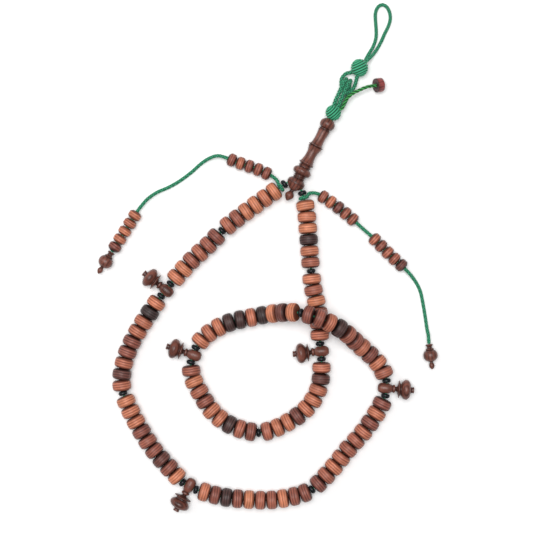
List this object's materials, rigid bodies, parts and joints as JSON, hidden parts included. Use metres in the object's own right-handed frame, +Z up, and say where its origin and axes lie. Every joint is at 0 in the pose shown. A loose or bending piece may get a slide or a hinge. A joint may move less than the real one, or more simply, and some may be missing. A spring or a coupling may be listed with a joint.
{
  "type": "prayer beads",
  "caption": "Closed strand of drum-shaped wooden beads with turned markers, a turned imame, corded counters and a knotted hanging loop.",
  "frame": {"origin": "on the surface the beads lie on, under the middle of the strand, the imame and the knots above it", "axes": "+Z up from the surface, +Y along the longest extent, towards the hanging loop"},
  "size_m": [0.1453, 0.2194, 0.0173],
  "materials": {
    "light_wood": "satin, grain running round the bead",
    "dark_wood": "satin, grain running round the bead",
    "turned_wood": "turned and polished",
    "red_wood": "polished",
    "black_spacer": "glossy, faceted",
    "green_cord": "braided",
    "tail_cord": "twisted"
  },
  "bodies": {
    "strand": {"main_string": "green_cord", "imame": "turned_wood", "lower_knot": "green_cord", "top_knot": "green_cord", "hanging_loop": "green_cord", "tail_cord": "tail_cord", "counter_cord_left": "green_cord", "counter_cord_right": "green_cord", "beads_1a": "dark_wood", "beads_1b": "light_wood", "beads_2a": "dark_wood", "beads_2b": "light_wood", "beads_3a": "dark_wood", "beads_3b": "light_wood", "beads_4a": "dark_wood", "beads_4b": "light_wood", "beads_5a": "dark_wood", "beads_5b": "light_wood", "beads_6a": "dark_wood", "beads_6b": "light_wood"},
    "marker_1": {"marker_1": "turned_wood"},
    "marker_2": {"marker_2": "turned_wood"},
    "marker_3": {"marker_3": "turned_wood"},
    "marker_4": {"marker_4": "turned_wood"},
    "marker_5": {"marker_5": "turned_wood"},
    "imame_spacer_left": {"imame_spacer_left": "black_spacer"},
    "imame_spacer_right": {"imame_spacer_right": "black_spacer"},
    "spacer_1_in": {"spacer_1_in": "black_spacer"},
    "spacer_1_out": {"spacer_1_out": "black_spacer"},
    "spacer_2_in": {"spacer_2_in": "black_spacer"},
    "spacer_2_out": {"spacer_2_out": "black_spacer"},
    "spacer_3_in": {"spacer_3_in": "black_spacer"},
    "spacer_3_out": {"spacer_3_out": "black_spacer"},
    "spacer_4_in": {"spacer_4_in": "black_spacer"},
    "spacer_4_out": {"spacer_4_out": "black_spacer"},
    "spacer_5_in": {"spacer_5_in": "black_spacer"},
    "spacer_5_out": {"spacer_5_out": "black_spacer"},
    "counter_bead_left_01": {"counter_bead_left_01": "light_wood"},
    "counter_bead_left_02": {"counter_bead_left_02": "light_wood"},
    "counter_bead_left_03": {"counter_bead_left_03": "light_wood"},
    "counter_bead_left_04": {"counter_bead_left_04": "light_wood"},
    "counter_bead_left_05": {"counter_bead_left_05": "light_wood"},
    "counter_bead_left_06": {"counter_bead_left_06": "light_wood"},
    "counter_bead_left_07": {"counter_bead_left_07": "light_wood"},
    "counter_bead_left_08": {"counter_bead_left_08": "light_wood"},
    "counter_bead_left_09": {"counter_bead_left_09": "light_wood"},
    "counter_bead_left_10": {"counter_bead_left_10": "light_wood"},
    "counter_bead_right_01": {"counter_bead_right_01": "light_wood"},
    "counter_bead_right_02": {"counter_bead_right_02": "light_wood"},
    "counter_bead_right_03": {"counter_bead_right_03": "light_wood"},
    "counter_bead_right_04": {"counter_bead_right_04": "light_wood"},
    "counter_bead_right_05": {"counter_bead_right_05": "light_wood"},
    "counter_bead_right_06": {"counter_bead_right_06": "light_wood"},
    "counter_bead_right_07": {"counter_bead_right_07": "light_wood"},
    "counter_bead_right_08": {"counter_bead_right_08": "light_wood"},
    "counter_bead_right_09": {"counter_bead_right_09": "light_wood"},
    "counter_bead_right_10": {"counter_bead_right_10": "light_wood"},
    "pendant_left": {"pendant_left": "turned_wood"},
    "pendant_right": {"pendant_right": "turned_wood"},
    "disc_bead": {"disc_bead": "red_wood"}
  },
  "joints": [
    {"name": "marker_1_swing", "type": "hinge", "parent": "strand", "child": "marker_1", "pos_m": [-0.04171, -0.01408, 0.004], "axis": [-0.6156, -0.788, 0], "continuous": true},
    {"name": "marker_2_swing", "type": "hinge", "parent": "strand", "child": "marker_2", "pos_m": [-0.03159, -0.09841, 0.004], "axis": [0.8779, -0.4788, 0], "continuous": true},
    {"name": "marker_3_swing", "type": "hinge", "parent": "strand", "child": "marker_3", "pos_m": [0.05294, -0.05631, 0.004], "axis": [0.0755, 0.9971, 0], "continuous": true},
    {"name": "marker_4_swing", "type": "hinge", "parent": "strand", "child": "marker_4", "pos_m": [-0.02991, -0.04201, 0.004], "axis": [-0.3132, -0.9497, 0], "continuous": true},
    {"name": "marker_5_swing", "type": "hinge", "parent": "strand", "child": "marker_5", "pos_m": [0.02493, -0.04047, 0.004], "axis": [-0.098, 0.9952, 0], "range_deg": [0, 120]},
    {"name": "imame_spacer_left_spin", "type": "hinge", "parent": "strand", "child": "imame_spacer_left", "pos_m": [0.00931, 0.03143, 0.004], "axis": [-0.8064, -0.5913, 0], "continuous": true},
    {"name": "imame_spacer_right_spin", "type": "hinge", "parent": "strand", "child": "imame_spacer_right", "pos_m": [0.01697, 0.02754, 0.004], "axis": [-0.3025, 0.9532, 0], "continuous": true},
    {"name": "spacer_1_in_spin", "type": "hinge", "parent": "strand", "child": "spacer_1_in", "pos_m": [-0.03968, -0.01148, 0.004], "axis": [-0.6381, -0.77, 0], "continuous": true},
    {"name": "spacer_1_out_spin", "type": "hinge", "parent": "strand", "child": "spacer_1_out", "pos_m": [-0.04374, -0.01668, 0.004], "axis": [-0.5944, -0.8042, 0], "continuous": true},
    {"name": "spacer_2_in_spin", "type": "hinge", "parent": "strand", "child": "spacer_2_in", "pos_m": [-0.03445, -0.09685, 0.004], "axis": [0.7801, -0.6257, 0], "continuous": true},
    {"name": "spacer_2_out_spin", "type": "hinge", "parent": "strand", "child": "spacer_2_out", "pos_m": [-0.02874, -0.09997, 0.004], "axis": [0.9461, -0.3238, 0], "continuous": true},
    {"name": "spacer_3_in_spin", "type": "hinge", "parent": "strand", "child": "spacer_3_in", "pos_m": [0.05269, -0.05957, 0.004], "axis": [0.2165, 0.9763, 0], "continuous": true},
    {"name": "spacer_3_out_spin", "type": "hinge", "parent": "strand", "child": "spacer_3_out", "pos_m": [0.05318, -0.05304, 0.004], "axis": [-0.0712, 0.9975, 0], "continuous": true},
    {"name": "spacer_4_in_spin", "type": "hinge", "parent": "strand", "child": "spacer_4_in", "pos_m": [-0.02888, -0.0389, 0.004], "axis": [-0.4373, -0.8993, 0], "continuous": true},
    {"name": "spacer_4_out_spin", "type": "hinge", "parent": "strand", "child": "spacer_4_out", "pos_m": [-0.03094, -0.04512, 0.004], "axis": [-0.1834, -0.983, 0], "continuous": true},
    {"name": "spacer_5_in_spin", "type": "hinge", "parent": "strand", "child": "spacer_5_in", "pos_m": [0.02525, -0.04375, 0.004], "axis": [-0.0875, 0.9962, 0], "continuous": true},
    {"name": "spacer_5_out_spin", "type": "hinge", "parent": "strand", "child": "spacer_5_out", "pos_m": [0.0246, -0.03719, 0.004], "axis": [-0.0741, 0.9972, 0], "continuous": true},
    {"name": "counter_bead_left_01_spin", "type": "hinge", "parent": "strand", "child": "counter_bead_left_01", "pos_m": [0.00162, 0.03617, 0.0028], "axis": [-0.8936, 0.4488, -0.0119], "continuous": true},
    {"name": "counter_bead_left_02_spin", "type": "hinge", "parent": "strand", "child": "counter_bead_left_02", "pos_m": [-0.00202, 0.03781, 0.00279], "axis": [-0.9274, 0.3739, 0.0066], "continuous": true},
    {"name": "counter_bead_left_03_spin", "type": "hinge", "parent": "strand", "child": "counter_bead_left_03", "pos_m": [-0.00578, 0.03917, 0.0028], "axis": [-0.9514, 0.3079, 0], "continuous": true},
    {"name": "counter_bead_left_04_spin", "type": "hinge", "parent": "strand", "child": "counter_bead_left_04", "pos_m": [-0.00957, 0.04044, 0.0028], "axis": [-0.9451, 0.3269, 0], "continuous": true},
    {"name": "counter_bead_left_05_slide", "type": "slide", "parent": "strand", "child": "counter_bead_left_05", "axis": [-0.9218, 0.3876, 0], "range_m": [0, 0.002]},
    {"name": "counter_bead_left_06_slide", "type": "slide", "parent": "strand", "child": "counter_bead_left_06", "axis": [0.5353, 0.8447, 0], "range_m": [0, 0.003]},
    {"name": "counter_bead_left_07_spin", "type": "hinge", "parent": "strand", "child": "counter_bead_left_07", "pos_m": [-0.05732, 0.01458, 0.0028], "axis": [-0.5304, -0.8477, 0], "continuous": true},
    {"name": "counter_bead_left_08_spin", "type": "hinge", "parent": "strand", "child": "counter_bead_left_08", "pos_m": [-0.05945, 0.0112, 0.00279], "axis": [-0.536, -0.8442, -0.0028], "continuous": true},
    {"name": "counter_bead_left_09_spin", "type": "hinge", "parent": "strand", "child": "counter_bead_left_09", "pos_m": [-0.0616, 0.00783, 0.00279], "axis": [-0.5385, -0.8426, -0.0019], "continuous": true},
    {"name": "counter_bead_left_10_spin", "type": "hinge", "parent": "strand", "child": "counter_bead_left_10", "pos_m": [-0.06371, 0.00445, 0.00295], "axis": [-0.5197, -0.8502, 0.0841], "continuous": true},
    {"name": "counter_bead_right_01_spin", "type": "hinge", "parent": "strand", "child": "counter_bead_right_01", "pos_m": [0.02604, 0.02601, 0.00279], "axis": [0.8403, -0.5422, 0.004], "continuous": true},
    {"name": "counter_bead_right_02_spin", "type": "hinge", "parent": "strand", "child": "counter_bead_right_02", "pos_m": [0.02935, 0.02377, 0.0028], "axis": [0.8153, -0.5791, 0], "continuous": true},
    {"name": "counter_bead_right_03_spin", "type": "hinge", "parent": "strand", "child": "counter_bead_right_03", "pos_m": [0.03257, 0.0214, 0.0028], "axis": [0.7949, -0.6068, 0], "continuous": true},
    {"name": "counter_bead_right_04_spin", "type": "hinge", "parent": "strand", "child": "counter_bead_right_04", "pos_m": [0.03569, 0.0189, 0.0028], "axis": [0.7662, -0.6426, 0], "continuous": true},
    {"name": "counter_bead_right_05_slide", "type": "slide", "parent": "strand", "child": "counter_bead_right_05", "axis": [0.7525, -0.6586, 0], "range_m": [0, 0.0038]},
    {"name": "counter_bead_right_06_slide", "type": "slide", "parent": "strand", "child": "counter_bead_right_06", "axis": [-0.7104, 0.7038, 0], "range_m": [0, 0.0038]},
    {"name": "counter_bead_right_07_spin", "type": "hinge", "parent": "strand", "child": "counter_bead_right_07", "pos_m": [0.051, 0.00485, 0.0028], "axis": [0.6875, -0.7262, 0], "continuous": true},
    {"name": "counter_bead_right_08_spin", "type": "hinge", "parent": "strand", "child": "counter_bead_right_08", "pos_m": [0.05382, 0.00201, 0.0028], "axis": [0.7202, -0.6938, 0], "continuous": true},
    {"name": "counter_bead_right_09_spin", "type": "hinge", "parent": "strand", "child": "counter_bead_right_09", "pos_m": [0.05675, -0.00072, 0.0028], "axis": [0.7431, -0.6692, 0], "continuous": true},
    {"name": "counter_bead_right_10_slide", "type": "slide", "parent": "strand", "child": "counter_bead_right_10", "axis": [0.7237, -0.6901, 0.0087], "range_m": [0, 0.0012]},
    {"name": "pendant_left_spin", "type": "hinge", "parent": "strand", "child": "pendant_left", "pos_m": [-0.06508, 0.00214, 0.0031], "axis": [-0.4753, -0.8798, 0], "continuous": true},
    {"name": "pendant_right_spin", "type": "hinge", "parent": "strand", "child": "pendant_right", "pos_m": [0.07158, -0.0375, 0.0031], "axis": [0.0462, -0.9989, 0], "continuous": true},
    {"name": "disc_bead_slide", "type": "slide", "parent": "strand", "child": "disc_bead", "axis": [-0.9026, -0.1805, 0.3907], "range_m": [0, 0.002]}
  ]
}
